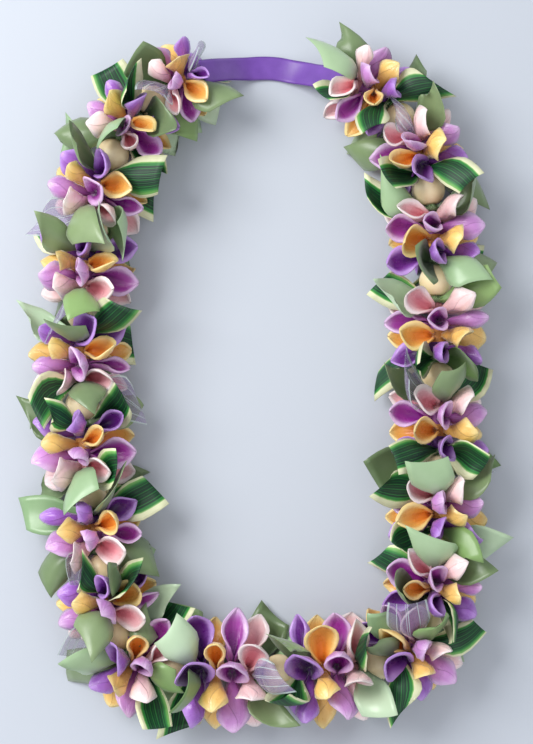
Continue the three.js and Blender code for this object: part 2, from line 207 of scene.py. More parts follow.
def points_mesh(name, places, lines=(), **carried_by):
    """A mesh of bare points, with what each point carries: numbers or directions."""
    mesh = bpy.data.meshes.new(name)
    mesh.from_pydata([tuple(p) for p in places], list(lines), [])
    for label, values in carried_by.items():
        values = np.array(values, float)
        way = values.ndim == 2
        layer = mesh.attributes.new(label, "FLOAT_VECTOR" if way else "FLOAT", "POINT")
        layer.data.foreach_set("vector" if way else "value", values.ravel())
    return mesh


def grow(name, mesh, tree, **sizes):
    """The plain mesh object that a tree makes from a mesh of points."""
    made = bpy.data.objects.new(name, mesh)
    bpy.context.scene.collection.objects.link(made)
    modifier = made.modifiers.new("shape", "NODES")
    modifier.node_group = tree
    for item in tree.interface.items_tree:
        key = item.name.replace(" ", "_")
        if item.in_out == "INPUT" and key in sizes:
            modifier[item.identifier] = sizes[key]
    depsgraph = bpy.context.evaluated_depsgraph_get()
    plain = bpy.data.meshes.new_from_object(
        made.evaluated_get(depsgraph), preserve_all_data_layers=True, depsgraph=depsgraph
    )
    made.modifiers.clear()
    made.data = plain
    plain.name = name
    return made


def round_tree():
    """A round body along lines of points, each point with its girth as a radius."""
    tree, lines, size = shape_tree("round_along_cord", Sides=12, Finish="Material")
    path = add_node(tree, "GeometryNodeMeshToCurve", {0: lines})
    smooth = add_node(tree, "GeometryNodeCurveSplineType", {0: path.outputs[0]}, spline_type="CATMULL_ROM")
    fine = add_node(tree, "GeometryNodeSetSplineResolution", {0: smooth.outputs[0], "Resolution": 4})
    ring = add_node(tree, "GeometryNodeCurvePrimitiveCircle", {"Resolution": size["Sides"], "Radius": 1.0})
    body = add_node(
        tree, "GeometryNodeCurveToMesh",
        {0: fine.outputs[0], 1: ring.outputs[0], "Scale": named(tree, "girth"), "Fill Caps": True},
    )
    finish_tree(tree, body.outputs[0], size["Finish"])
    return tree


def round_along(name, runs, sides, finish):
    """Round bodies that follow the cord, one for each list of (length along it, radius)."""
    places, girths, shares, lines = [], [], [], []
    for run in runs:
        for j, (s, r) in enumerate(run):
            if j:
                lines.append((len(places) - 1, len(places)))
            places.append(along(s))
            girths.append(r)
            shares.append((s - run[0][0]) / (run[-1][0] - run[0][0]))
    start = points_mesh(name, places, lines, girth=girths, share=shares)
    return grow(name, start, ROUND, Sides=sides, Finish=finish)


ROUND = round_tree()


def surface(name):
    """A new material, its tree and its shader."""
    material = bpy.data.materials.new(name)
    material.use_nodes = True
    return material, material.node_tree, material.node_tree.nodes["Principled BSDF"]


def object_place(tree):
    return Measure(tree, tree.nodes.new("ShaderNodeTexCoord").outputs["Object"])


def noise(place, scale, detail=2.0):
    """Soft unevenness, as a measure near one half."""
    node = add_node(place.tree, "ShaderNodeTexNoise", {"Vector": place, "Scale": scale, "Detail": detail})
    return Measure(place.tree, node.outputs["Fac"])


def ridges(place, scale, distortion, detail=2.0):
    """Slanting ridges, a little crooked, as a height from 0 to 1."""
    inputs = {"Vector": place, "Scale": scale, "Distortion": distortion, "Detail": detail}
    node = add_node(place.tree, "ShaderNodeTexWave", inputs, bands_direction="DIAGONAL")
    return Measure(place.tree, node.outputs["Fac"])


def tinted(share, *stops, sharp=False):
    """A colour that runs through stops of (place, colour) along a share, in sharp bands or smoothly."""
    node = add_node(share.tree, "ShaderNodeValToRGB", {"Fac": share})
    ramp = node.color_ramp
    ramp.interpolation = "CONSTANT" if sharp else "LINEAR"
    ramp.elements[0].position, ramp.elements[0].color = stops[0]
    ramp.elements[1].position, ramp.elements[1].color = stops[-1]
    for position, colour in stops[1:-1]:
        ramp.elements.new(position).color = colour
    return node.outputs[0]


def coat(tree, shader, colour, relief, **finish):
    """Gives a shader its colour, its relief as (height, depth, strength), and its other values."""
    bump = add_node(tree, "ShaderNodeBump", dict(zip(("Height", "Distance", "Strength"), relief)))
    fill_in(tree, shader, {"Base Color": colour, "Normal": bump.outputs[0]})
    fill_in(tree, shader, {key.replace("_", " "): value for key, value in finish.items()})


cotton, tree, shader = surface("twisted_cotton")
strands = ridges(object_place(tree), 900.0, 1.5)
fuzz = noise(object_place(tree), 2500.0)
tint = tinted(strands, (0, hue(196, 186, 160)), (1, hue(236, 230, 212)))
coat(tree, shader, tint, (strands + fuzz * 0.3, 0.0004, 0.7), Roughness=0.85)

cord = round_along("cord", [[(s, CORD_RADIUS) for s in station_run]], 10, cotton)
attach(cord, "root")
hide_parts("core_cord")

# Beads
# Eighteen turned round beads of pale wood, rubbed smooth, one between each two blooms.
# Each is drilled through, wide enough for the cord and the leaf wrap round it.
BLOOM_SIZES = [0.84, 0.92, 1, 1, 1, 1, 1, 1, 1.04, 1.14, 1.14, 1.06, 1, 1, 1, 1, 1, 1, 0.92]  # 1 is common
BLOOMS = len(BLOOM_SIZES)
BEAD_RADIUS = 0.011
BEAD_BORE = 0.0039
BEAD_SIDES = 28
bead_run = [float(station_run[2 * k + 3]) for k in range(BLOOMS - 1)]


def heading(run, half=0.006):
    """The way the cord heads, over a short stretch."""
    way = along(run + half) - along(run - half)
    return way / np.linalg.norm(way)


def skinned(name, rings, closed):
    """A skin over rings of places, that closes on its first ring again or has both ends capped."""
    skin = bmesh.new()
    rows = [[skin.verts.new(place) for place in ring] for ring in rings]
    for row, after in zip(rows, rows[1:] + rows[:1] if closed else rows[1:]):
        for i in range(len(row)):
            skin.faces.new((row[i], row[i - 1], after[i - 1], after[i]))
    if not closed:
        skin.faces.new(rows[0])
        skin.faces.new(rows[-1])
    bmesh.ops.recalc_face_normals(skin, faces=skin.faces)
    mesh = bpy.data.meshes.new(name)
    skin.to_mesh(mesh)
    skin.free()
    return bpy.data.objects.new(name, mesh)


def bead_blank():
    """One bead round the Z axis, its outside and its hole as one closed skin. The hole's edges are eased."""
    edge = math.asin(BEAD_BORE / BEAD_RADIUS)
    turns = np.linspace(edge * 1.12, math.pi - edge * 1.12, 14)
    outline = [(BEAD_RADIUS * math.cos(a), BEAD_RADIUS * math.sin(a)) for a in turns]
    hole = 0.93 * BEAD_RADIUS * math.cos(edge)
    bore = [(hole * at, BEAD_BORE * wide) for at, wide in ((-0.97, 1.02), (-0.8, 1), (0.8, 1), (0.97, 1.02))]
    turns = np.arange(BEAD_SIDES) * 2 * math.pi / BEAD_SIDES
    rings = [[(r * math.cos(t), r * math.sin(t), a) for t in turns] for a, r in outline + bore]
    return skinned("bead_blank", rings, True)


def copied(tree, points, form, **turned):
    """A copy of a form at each point."""
    shape = add_node(tree, "GeometryNodeObjectInfo", {"Object": form})
    inputs = {"Points": points, "Instance": shape.outputs["Geometry"], **turned}
    return add_node(tree, "GeometryNodeInstanceOnPoints", inputs).outputs[0]


wood, tree, shader = surface("pale_turned_wood")
place = object_place(tree)
grain = noise(place.work("MULTIPLY", (260.0, 260.0, 90.0)), 1.0, 4.0)
look = grain * 0.35 + noise(place, 60.0) * 0.65
tint = tinted(look, (0.3, hue(240, 212, 160)), (0.7, hue(255, 240, 200)))
coat(tree, shader, tint, (grain, 0.0001, 0.3), Roughness=0.4)

tree, threaded, size = shape_tree("beads_on_cord", Bead="Object", Finish="Material")
turned = add_node(tree, "FunctionNodeAlignRotationToVector", {"Vector": named(tree, "way", True)}, axis="Z")
finish_tree(tree, copied(tree, threaded, size["Bead"], Rotation=turned.outputs[0]), size["Finish"])

blank = bead_blank()
start = points_mesh("beads", [along(s) for s in bead_run], way=[heading(s) for s in bead_run])
beads = grow("beads", start, tree, Bead=blank, Finish=wood)
bpy.data.objects.remove(blank)
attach(beads, "root")
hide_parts(*["bead_%02d" % (k + 1) for k in range(BLOOMS - 1)])

# Bloom hubs
# The gathered roots of a bloom's petals, stitched into a short tight roll round the cord.
# Each of the four rows shows as a band of its own ribbon, finely pleated. The bands are darker copies of the
# row colours as painted shade, since they lie deep among the petals, and their pleating is painted darker in
# its hollows.
HUB_RADIUS = 0.0055
HUB_SHAPE = [
    (0, 0.62), (0.06, 0.9), (0.2, 1), (0.35, 0.96), (0.5, 1), (0.65, 0.96), (0.8, 1), (0.94, 0.9), (1, 0.62),
]
COLLAR_LENGTH = 0.003
JOIN = 0.00035  # room left between neighbours on the cord
TIE_RUN = (0.0006, 0.0064)  # ribbon round each end of the cord


def hub_run(k):
    """Where a bloom's hub starts and ends along the cord."""
    near = BEAD_RADIUS + 2 * JOIN + COLLAR_LENGTH
    tied = TIE_RUN[1] + COLLAR_LENGTH + 2 * JOIN
    start = bead_run[k - 1] + near if k else tied
    return start, bead_run[k] - near if k < BLOOMS - 1 else CORD_LENGTH - tied


def shaped_run(start, end, radius, shape):
    """Places and radii along the cord from start to end, from shares of the length and of the radius."""
    return [(start + (end - start) * t, radius * g) for t, g in shape]


def carried(tree, label):
    """A measure that the points of a piece carry, read by its material."""
    node = add_node(tree, "ShaderNodeAttribute", {}, attribute_name=label, attribute_type="GEOMETRY")
    return Measure(tree, node.outputs["Fac"])


def shaded(colour, shade):
    """A colour made darker or lighter by a measure near one."""
    grey = add_node(shade.tree, "ShaderNodeCombineColor", {0: shade, 1: shade, 2: shade})
    inputs = {0: 1.0, 6: colour, 7: grey.outputs[0]}
    return add_node(shade.tree, "ShaderNodeMix", inputs, data_type="RGBA", blend_type="MULTIPLY").outputs[2]


roots, tree, shader = surface("stitched_roots")
pleats_and_shade = noise(object_place(tree), 700.0)
# Painted shade: each band is a darker copy of its row's colour, and the pleating's hollows are painted darker
# still.
bands = tinted(
    carried(tree, "share"), (0, hue(112, 52, 148)), (0.25, hue(224, 150, 70)), (0.5, hue(168, 84, 168)),
    (0.75, hue(226, 150, 156)), sharp=True,
)
coat(tree, shader, shaded(bands, pleats_and_shade * 0.9 + 0.1), (pleats_and_shade, 0.0006, 0.6), Roughness=0.6)

hub_lines = [shaped_run(*hub_run(k), HUB_RADIUS, HUB_SHAPE) for k in range(BLOOMS)]
hubs = round_along("bloom_hubs", hub_lines, 16, roots)
BLOOM_NODES = ["bloom_%02d" % (k + 1) for k in range(BLOOMS)]
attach(hubs, "root")
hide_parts(*BLOOM_NODES)

# Petals
# Every petal is a square of satin ribbon folded into a deep cup: its rims roll outwards, meet low at the
# front, and end in a pointed tip. Five make a row, and a bloom has four rows: purple, gold, orchid, pink.
PETAL_LENGTH = 0.029
PETAL_WIDTH = 0.018  # the room a petal is given, in which its ribbon stands a little wider
PETAL_DEPTH = 0.0085
PETAL_ROOT = 0.0042  # from the cord's middle
PETAL_THICK = 0.0007  # half of the folded ribbon's thickness
ROW_PETALS = 5
ROW_LEAN = (-17, -5.7, 5.7, 17)
ROW_PLACE = (0.72, 0.24, 0.24, 0.72)  # share of the hub's half length
COMMON_HALF_HUB = 0.0125  # rows on a shorter hub lean further apart
ROW_TURN = 36  # degrees from one row to the next, so that its petals stand in the other's gaps
FLAT_AT = 138  # degrees from straight up, past which a piece is pressed flat under the lei
LOWEST = 0.0004  # of any ribbon's skin over the surface
UP = np.array((0.0, 0.0, 1.0))


def draw(a, b):
    """A repeatable draw from 0 to 1 for two whole numbers."""
    s = math.sin(a * 12.9898 + b * 78.233) * 43758.5453
    return s - math.floor(s)


def turned_to(angle):
    return (angle + 180) % 360 - 180


def spoke(to, angle):
    """Out from the cord at an angle, 0 up and 90 away from the loop, and the way round it."""
    side = np.cross(to, UP)
    c, s = math.cos(math.radians(angle)), math.sin(math.radians(angle))
    return UP * c + side * s, UP * -s + side * c


def reach(angle, length):
    """How far a piece that leaves the cord at an angle goes before it meets the surface."""
    return min(length, (CORD_HEIGHT + 0.001) / max(0.01, -math.cos(math.radians(angle))))


def petal_place(k, row, i):
    """Where a petal stands: its root, its three axes, its length and size. No two are folded quite alike."""
    size, seed = BLOOM_SIZES[k], (k * 4 + row) * ROW_PETALS + i
    start, end = hub_run(k)
    middle, half = (start + end) / 2, (end - start) / 2
    to = heading(middle, half)
    at = along(middle + (-half if row < 2 else half) * ROW_PLACE[row])
    turn = 24 * (draw(k, 1) - 0.5) + (row % 2) * ROW_TURN + 12 * (draw(seed, 2) - 0.5)
    angle = turned_to(i * 360 / ROW_PETALS + turn)
    out, round_way = spoke(to, angle)
    lean = math.radians(ROW_LEAN[row] * (1.7 - 0.7 * half / COMMON_HALF_HUB) + 6 * (draw(seed, 3) - 0.5))
    axis = out * math.cos(lean) + to * math.sin(lean)
    length = reach(angle, PETAL_LENGTH * size * (0.93 + 0.14 * draw(seed, 4)) + PETAL_ROOT) - PETAL_ROOT
    return {
        "root": at + out * PETAL_ROOT, "axis": axis, "open": round_way, "across": np.cross(round_way, axis),
        "length": length, "size": size, "angle": angle,
        "close": 0.86 + 0.72 * draw(seed, 6) ** 1.5 + 0.12 * max(0, 1 - abs(angle) / 70),
        "widen": (0.92 + 0.22 * draw(seed, 7)) * (1 + 0.22 * max(0, 1 - abs(angle) / 60)),
    }


petal_places = [
    [petal_place(k, row, i) for row in range(4) for i in range(ROW_PETALS)] for k in range(BLOOMS)
]


def ribbon_blank(name, ring, steps):
    """A flat closed ribbon. Each point carries its place: across -1 to 1, along 0 to 1, side -1 to 1."""
    blank = skinned(name, [[(u, v, w * 0.05) for u, w in ring] for v in steps], False)
    places = np.array([(u, v, w) for v in steps for u, w in ring])
    blank.data.attributes.new("fold", "FLOAT_VECTOR", "POINT").data.foreach_set("vector", places.ravel())
    return blank


def follow(share, knots):
    """A measure that runs through knots of (share, value from 0 to 1) along a share."""
    node = add_node(share.tree, "ShaderNodeFloatCurve", {"Value": share})
    curve = node.mapping.curves[0]
    for x, y in knots[1:-1]:
        curve.points.new(x, y)
    curve.points[0].location, curve.points[len(knots) - 1].location = knots[0], knots[-1]
    node.mapping.update()
    return Measure(share.tree, node.outputs[0])


def chance(tree, points, label, low, high, seed):
    """Gives each point of a mesh a random measure, and passes the mesh on."""
    pick = add_node(tree, "FunctionNodeRandomValue", {2: low, 3: high, "Seed": seed}, data_type="FLOAT")
    inputs = {0: points, "Name": label, "Value": pick.outputs[1]}
    keep = add_node(tree, "GeometryNodeStoreNamedAttribute", inputs, data_type="FLOAT", domain="POINT")
    return keep.outputs[0]


def settle(tree, geometry, place, wave, floor):
    """Moves each point to its place, with slow waves, and presses what is too low on to the surface."""
    waves = add_node(tree, "ShaderNodeTexNoise", {"Vector": place, "Scale": 55.0, "Detail": 1.0})
    uneven = Measure(tree, waves.outputs["Color"])
    uneven.is_way = True
    x, y, z = (place + (uneven - (0.5, 0.5, 0.5)) * wave).parts()
    soft = 0.0011  # height over which the pressing sets in
    low = ((z - floor) / soft).at_most(80.0).work("EXPONENT") + 1.0
    z = low.work("LOGARITHM", math.e) * soft + floor
    seat = add_node(tree, "ShaderNodeCombineXYZ", {0: x, 1: y, 2: z})
    return add_node(tree, "GeometryNodeSetPosition", {0: geometry, "Position": seat.outputs[0]}).outputs[0]


# Along a petal from its root: its half width, how far it wraps round, how far back it stands, and its rim.
PETAL_HALF = [
    (0, 0.25), (0.08, 0.56), (0.2, 0.82), (0.34, 0.94), (0.46, 0.98), (0.6, 1), (0.71, 0.89), (0.8, 0.7),
    (0.88, 0.46), (0.95, 0.22), (1, 0.04),
]
PETAL_WRAP = [
    (0, 0.94), (0.2, 0.88), (0.35, 0.73), (0.5, 0.58), (0.62, 0.5), (0.75, 0.44), (0.86, 0.4), (1, 0.34),
]
PETAL_BACK = [
    (0, 0.13), (0.2, 0.28), (0.35, 0.44), (0.5, 0.56), (0.62, 0.6), (0.75, 0.54), (0.86, 0.38), (1, 0.08),
]
PETAL_RIM = [(0, 0), (0.3, 0.15), (0.5, 0.8), (0.7, 1), (0.9, 0.6), (1, 0.1)]
PETAL_CHANCES = [
    ("skew", -0.8, 0.8), ("curl", -0.6, 1.2), ("tone", 0.0, 1.0), ("twist", -0.5, 0.5), ("turn", -0.22, 0.22),
    ("sway", -1.0, 1.0),
]


def petal_folding():
    """The tree that folds a flat blank into a cup at every petal's root."""
    tree, points, size = shape_tree(
        "petal_folding", Blank="Object", Width=PETAL_WIDTH, Depth=PETAL_DEPTH, Half_Thickness=PETAL_THICK,
        Rim_Roll=0.0019, Sway=0.0018, Unevenness=0.0018, Lowest=LOWEST, Seed=3, Finish="Material",
    )
    for number, (label, low, high) in enumerate(PETAL_CHANCES):
        points = chance(tree, points, label, low, high, size["Seed"] + float(number * 11))
    real = add_node(tree, "GeometryNodeRealizeInstances", {0: copied(tree, points, size["Blank"])})
    across, run, side = named(tree, "fold", True).parts()
    big, long = named(tree, "size"), named(tree, "length")
    half = follow(run, PETAL_HALF) * size["Width"] * big * 0.62 * named(tree, "widen")
    wrap = (follow(run, PETAL_WRAP) * named(tree, "close")).at_most(0.96) * math.pi
    back = follow(run, PETAL_BACK) * size["Depth"] * big
    tube = half / wrap
    rim = across * across * across * across
    lip = rim * size["Rim_Roll"] * follow(run, PETAL_RIM)
    skin = tube + side * size["Half_Thickness"] * (rim * 1.1 + 0.8) + lip
    turn = across * wrap + named(tree, "skew") * run
    bow = (run - 0.55).at_least(0.0)
    x = skin * turn.work("SINE") + named(tree, "sway") * size["Sway"] * run * run
    y = tube - skin * turn.work("COSINE") - back - lip * 0.7 - bow * bow * named(tree, "curl") * long
    spin = named(tree, "twist") * run + named(tree, "turn")
    spun_x = x * spin.work("COSINE") - y * spin.work("SINE")
    spun_y = x * spin.work("SINE") + y * spin.work("COSINE")
    place = named(tree, "root", True) + named(tree, "across", True) * spun_x
    place = place + named(tree, "open", True) * spun_y + named(tree, "axis", True) * (run * long)
    settled = settle(tree, real.outputs[0], place, size["Unevenness"], size["Lowest"])
    finish_tree(tree, settled, size["Finish"])
    return tree


PETAL_FOLDING = petal_folding()
PETAL_RING = [(-0.94, 0.85), (-0.62, 1.0), (-0.22, 0.8), (0.22, 0.8), (0.62, 1.0), (0.94, 0.85), (1.0, 0.0)]
PETAL_RING += [(u, -w) for u, w in reversed(PETAL_RING[:-1])] + [(-1.0, 0.0)]
petal_blank = ribbon_blank("petal_blank", PETAL_RING, [0, 0.2, 0.36, 0.5, 0.61, 0.71, 0.8, 0.88, 0.95, 1])


def satin_weave():
    """Satin's fine floating threads: fine slanting lines, and slow streaks of sheen."""
    group = bpy.data.node_groups.new("satin_weave", "ShaderNodeTree")
    group.interface.new_socket("Place", in_out="INPUT", socket_type="NodeSocketVector")
    group.interface.new_socket("Threads", in_out="INPUT", socket_type="NodeSocketFloat")
    group.interface.new_socket("Height", in_out="OUTPUT", socket_type="NodeSocketFloat")
    group.interface.new_socket("Streak", in_out="OUTPUT", socket_type="NodeSocketFloat")
    start = group.nodes.new("NodeGroupInput")
    place = Measure(group, start.outputs["Place"])
    threads = ridges(place * Measure(group, start.outputs["Threads"]), 1.0, 1.2)
    add_node(group, "NodeGroupOutput", {"Height": threads, "Streak": noise(place, 130.0, 3.0)})
    return group


SATIN_WEAVE = satin_weave()


def woven(tree, threads):
    """The height of a satin's threads and its streaks."""
    weave = add_node(tree, "ShaderNodeGroup", {}, node_tree=SATIN_WEAVE)
    fill_in(tree, weave, {"Place": object_place(tree), "Threads": threads})
    return Measure(tree, weave.outputs["Height"]), Measure(tree, weave.outputs["Streak"])


def ribbon_spot(tree):
    """Where on its ribbon a spot lies: across it, along it, and on which side."""
    node = add_node(tree, "ShaderNodeAttribute", {}, attribute_name="fold", attribute_type="GEOMETRY")
    return Measure(tree, node.outputs["Vector"]).parts()


def mixed(share, first, second):
    """A colour between two, each a colour or a socket."""
    return add_node(share.tree, "ShaderNodeMix", {0: share, 6: first, 7: second}, data_type="RGBA").outputs[2]


def risen(value, low, high, rise="SMOOTHSTEP"):
    """A share that rises from 0 at one value to 1 at another."""
    inputs = {"Value": value, "From Min": low, "From Max": high}
    node = add_node(value.tree, "ShaderNodeMapRange", inputs, interpolation_type=rise)
    return Measure(value.tree, node.outputs[0])


def petal_satin(name, rim_sheen_hue, outer_hue, inner_shade_hue, deep_shade_hue):
    """Satin of one petal colour, one cut end folded over behind. Painted sheen makes it paler at its rims and
    in streaks. Painted shade makes it deeper down the cup and at the root of its back, with a painted shadow
    along the folded end's edge.
    """
    material, tree, shader = surface(name)
    across, run, side = ribbon_spot(tree)
    tone = carried(tree, "tone")
    threads, streak = woven(tree, 700.0)
    spread = across.work("ABSOLUTE") + (streak - 0.5) * 0.25
    # Painted sheen: the rims and the tip are painted paler than the satin's own colour.
    rim = risen(spread, 0.45, 0.95).at_least(risen(run, 0.8, 1.0)) * risen(run, 0.25, 0.6)
    inside = risen(side, 0.3, -0.4)
    # Painted shade: the inside of the cup is painted darker towards its middle and its root, and darkest deep
    # down in the cup.
    depth = risen(spread, 0.95, 0.35) * risen(run, 0.98, 0.72)
    throat_shade = risen(spread + run * 0.7, 1.0, 0.35) * risen(run, 0.85, 0.4)
    # Painted shade: the outside is painted towards the inside's darker hue near the petal's root.
    neck = risen(run, 0.5, 0.12) * 0.6
    outer = mixed(rim * 0.85, mixed(neck, outer_hue, inner_shade_hue), rim_sheen_hue)
    cup = mixed(throat_shade, mixed(depth, outer, inner_shade_hue), deep_shade_hue)
    flip = tone.work("GREATER_THAN", 0.5) * 2.0 - 1.0  # which cut end lies on top
    over = across * flip * 0.9 + run * 1.25 + tone * 0.2 - 0.95  # past the folded end's edge
    outside = inside.rest()
    step = risen(over, -0.015, 0.015) * outside
    # Painted shadow: a dark line is painted along the folded-over end's edge.
    seam_shadow = risen(over.work("ABSOLUTE"), 0.05, 0.0) * outside
    # Painted light in the shade: streaks of painted sheen, the painted shadow along the edge, and a painted
    # highlight that makes the folded-over end a little lighter. The tone is each petal's own random
    # variation.
    shade = (tone * 0.2 + 0.9) * (streak * 0.16 + 0.92) * (seam_shadow * -0.2 + 1.0) * (step * 0.1 + 0.93)
    ribbon_place = add_node(tree, "ShaderNodeCombineXYZ", {0: across * 2.2, 1: run * 1.1, 2: tone * 9.0})
    pull = noise(Measure(tree, ribbon_place.outputs[0]), 1.6)
    coat(
        tree, shader, shaded(mixed(inside, outer, cup), shade),
        (pull * 1.6 + step * 0.7 + threads * 0.04, 0.001, 0.55),
        Roughness=streak * 0.16 + 0.2, Specular_IOR_Level=0.65, Sheen_Weight=0.35, Sheen_Roughness=0.3,
    )
    return material


# The rim hue is painted sheen. The inside hue and the deep hue are painted shade, darker copies of the
# outside's colour.
ROW_SATIN = {  # rim, outside, inside, and deep in the cup
    "purple": (hue(200, 158, 232), hue(156, 96, 192), hue(110, 36, 140), hue(54, 8, 82)),
    "gold": (hue(255, 230, 158), hue(250, 202, 112), hue(248, 182, 88), hue(240, 142, 54)),
    "orchid": (hue(234, 200, 238), hue(202, 140, 208), hue(172, 64, 168), hue(128, 26, 130)),
    "pink": (hue(255, 242, 240), hue(255, 214, 212), hue(252, 192, 196), hue(240, 140, 152)),
}


def row_petals(row):
    return [places[row * ROW_PETALS + i] for places in petal_places for i in range(ROW_PETALS)]


def roots_mesh(name, pieces, labels):
    """A mesh of the roots of petals or leaves, where each carries its own measures."""
    carried_by = {label: [piece[label] for piece in pieces] for label in labels}
    return points_mesh(name, [piece["root"] for piece in pieces], **carried_by)


def grown_row(row, colour_name, satin):
    """All petals of one row and colour, one row to each bloom."""
    name = "petals_" + colour_name
    labels = ("root", "axis", "open", "across", "length", "size", "close", "widen")
    start = roots_mesh(name, row_petals(row), labels)
    return grow(name, start, PETAL_FOLDING, Blank=petal_blank, Seed=3 + row * 101, Finish=satin)


STANDING_TO = 120  # degrees from straight up, past which a petal is half hidden and may touch its neighbour


def crossing_petals(sets):
    """The standing petals that cross a neighbour beyond their gathered roots."""
    count, ring = len(petal_blank.data.vertices), len(PETAL_RING)
    outer_faces = [tuple(face.vertices) for face in petal_blank.data.polygons][2 * ring:-2]
    standing = []
    for row, grown in enumerate(sets):
        spots = np.empty(len(grown.data.vertices) * 3)
        grown.data.vertices.foreach_get("co", spots)
        for n, petal in enumerate(row_petals(row)):
            if abs(petal["angle"]) < STANDING_TO:
                places = spots.reshape((-1, count, 3))[n].tolist()
                standing.append((n // ROW_PETALS, petal, BVHTree.FromPolygons(places, outer_faces)))
    crossed = []
    for at, (k, petal, net) in enumerate(standing):
        for other_k, other, other_net in standing[at + 1:]:
            if abs(k - other_k) < 2 and len(net.overlap(other_net)) > 3:
                crossed += [petal, other]
    return crossed


NARROWINGS = 3  # rounds in which a petal that crosses another is folded narrower
NARROWER = 0.95
NARROWEST = 0.7
satins = {name: petal_satin(name + "_satin", *hues) for name, hues in ROW_SATIN.items()}
for narrowing in range(NARROWINGS + 1):
    petal_sets = [grown_row(row, name, satin) for row, (name, satin) in enumerate(satins.items())]
    crossed = crossing_petals(petal_sets) if narrowing < NARROWINGS else []
    if not crossed:
        break
    for petal in crossed:
        petal["widen"] = max(petal["widen"] * NARROWER, NARROWEST)
    for petals in petal_sets:
        bpy.data.meshes.remove(petals.data)
for petals in petal_sets:
    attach(petals, "root")
    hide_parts(*BLOOM_NODES)
bpy.data.objects.remove(petal_blank)

# Leaf wraps
# Sage ribbon wound round the cord on both sides of every bead and drawn through its hole.
# It holds the pinched roots of the leaves, and keeps bead and bloom apart.
WRAP_RADIUS = 0.0033
COLLAR_RADIUS = 0.005
COLLAR_EDGE = 0.0042
END_COLLAR_SHAPE = [(0, 0.88), (0.5, 1), (1, 0.88)]


def wrap_lines():
    """The wrap at each end of the cord, and through each bead with a collar on both its sides."""
    near, far = BEAD_RADIUS + JOIN, BEAD_RADIUS + JOIN + COLLAR_LENGTH
    half = [(far, COLLAR_EDGE), (far - 0.0012, COLLAR_RADIUS)]
    half += [(near + 0.0004, 0.0048), (near - 0.0006, WRAP_RADIUS)]
    lines = [
        [(s - d, r) for d, r in half] + [(s, WRAP_RADIUS)] + [(s + d, r) for d, r in reversed(half)]
        for s in bead_run
    ]
    start, end = TIE_RUN[1] + JOIN, CORD_LENGTH - TIE_RUN[1] - JOIN
    first = shaped_run(start, start + COLLAR_LENGTH, COLLAR_RADIUS, END_COLLAR_SHAPE)
    last = shaped_run(end - COLLAR_LENGTH, end, COLLAR_RADIUS, END_COLLAR_SHAPE)
    return [first, *lines, last]


wound, tree, shader = surface("wound_sage_ribbon")
winding = ridges(object_place(tree), 420.0, 2.5, 1.0)
tint = tinted(winding, (0, hue(86, 116, 74)), (1, hue(146, 170, 124)))
coat(tree, shader, tint, (winding, 0.0003, 0.6), Roughness=0.5)

wraps = round_along("leaf_wraps", wrap_lines(), 14, wound)
LEAF_NODES = ["leaves_%02d" % (k + 1) for k in range(BLOOMS + 1)]
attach(wraps, "root")
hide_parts(*LEAF_NODES)

# Leaves
# Short lengths of ribbon, pinched at one end and wrapped to the cord, five on each side of a bead: plain sage
# and mint satin, green striped ribbon with cream margins, and sheer organza with silvery lines. Their ends
# are cut square, slanting or to a point.
LEAF_LENGTH = 0.042
LEAF_WIDTH = 0.026
LEAF_ROOT = 0.0022  # from the cord's middle
LEAF_NECK = 0.0026  # from the cord's middle, where a leaf sets off
LEAVES = 5
LOWER_EDGE = -0.036  # a leaf hangs no further than this below the lowest stretch of the cord
LOWEST_CORD = station_place[:, 1].min()
LEAF_ARCH = 0.0055  # how far a leaf bulges across its middle
LEAF_THICK = 0.00022  # half of the ribbon's thickness
LEAF_CUTS = (  # up to which draw, and how far past its end a leaf's two corners are cut
    (0.35, (0.003, -0.002)), (0.7, (-0.009, 0.005)), (1, (0.005, -0.009)),
)
WHORL_KINDS = (("sage", "striped", "mint", "sage", "organza"), ("striped", "sage", "mint", "sage", "striped"))


def leaf_place(run, seed, size, angle, lean, bend, flip):
    """A leaf's place: pinched at the cord, wide and arched further out."""
    at, to = along(run), heading(run)
    out, round_way = spoke(to, angle)
    hang = (at[1] - LOWEST_CORD - LOWER_EDGE) / max(0.01, -out[1])
    length = reach(angle, min(hang, LEAF_LENGTH * min(size, 1.06) * (0.88 + 0.24 * draw(seed, 5))))
    wide = LEAF_WIDTH / 2 * (0.85 + 0.25 * draw(seed, 6)) * min(1, length / 0.03)
    aside = min(1, max(0, (abs(angle) - 10) / 40))
    twist = math.radians(20 + 64 * aside + 24 * (draw(seed, 7) - 0.5))
    twist *= -flip if draw(seed, 8) < 0.5 else flip
    leans = (math.radians(lean), math.radians(lean + bend))
    near, far = (out * math.cos(a) + to * math.sin(a) for a in leans)
    middle = at + out * LEAF_NECK + near * 0.52 * length
    end = middle + far * 0.42 * length
    across = round_way * math.cos(twist) + np.cross(near, round_way) * math.sin(twist)
    face = np.cross(across, near)
    face /= np.linalg.norm(face)
    flipped = np.dot(face, to) * lean > 0
    cuts = next(corners for limit, corners in LEAF_CUTS if draw(seed, 9) < limit)
    return {
        "root": at + out * LEAF_ROOT, "middle": middle, "end": end, "onward": far, "wide": wide,
        "angle": angle, "across": -across if flipped else across, "face": -face if flipped else face,
        "cuts": (cuts[1], cuts[0], 0) if flipped else (*cuts, 0),
        "cup": 0.6 + 0.8 * draw(seed, 15), "twist": 1.2 * draw(seed, 16) - 0.6,
        "curl": 2 * draw(seed, 17) - 1, "point": max(0, 1.3 * draw(seed, 18) - 0.5),
    }


BEAD_ROOM = 0.0008  # kept free round a bead and round a petal, where there is a choice
PETAL_ROOM = 0.0016
near_petals = {}


